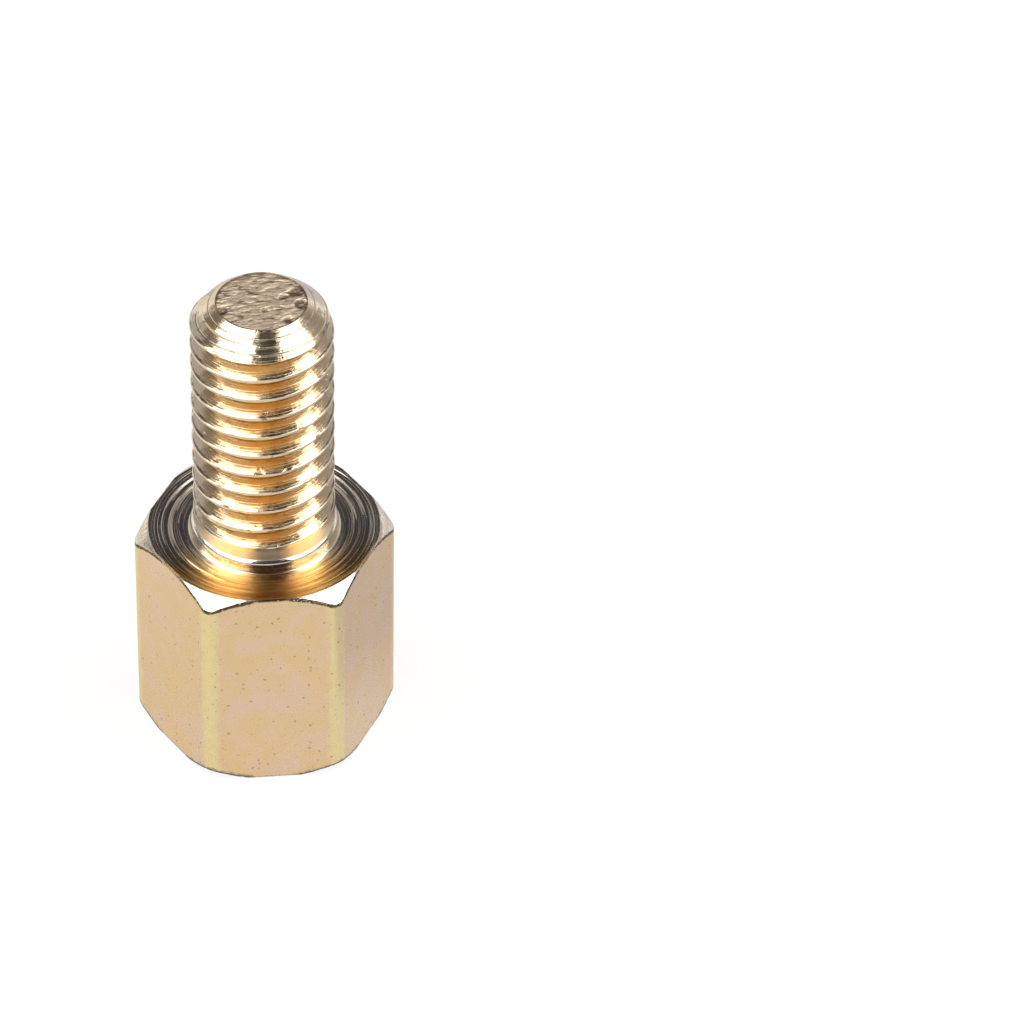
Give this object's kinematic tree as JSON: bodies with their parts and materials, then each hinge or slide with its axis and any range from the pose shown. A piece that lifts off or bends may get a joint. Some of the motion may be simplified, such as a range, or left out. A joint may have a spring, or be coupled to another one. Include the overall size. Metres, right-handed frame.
{
  "type": "male-female threaded spacer",
  "caption": "Hexagonal metal spacer with a threaded stud on one end and a tapped blind hole in the other.",
  "frame": {"origin": "centre of the base face, the end with the tapped hole", "axes": "+Z along the axis towards the threaded stud, two of the six flats face -Y and +Y"},
  "size_m": [0.0054, 0.0048, 0.011],
  "materials": {
    "brass": "bright gold-coloured plating over turned brass, satin on the drawn flats"
  },
  "bodies": {
    "root": {"threaded_spacer": "brass"}
  },
  "joints": []
}
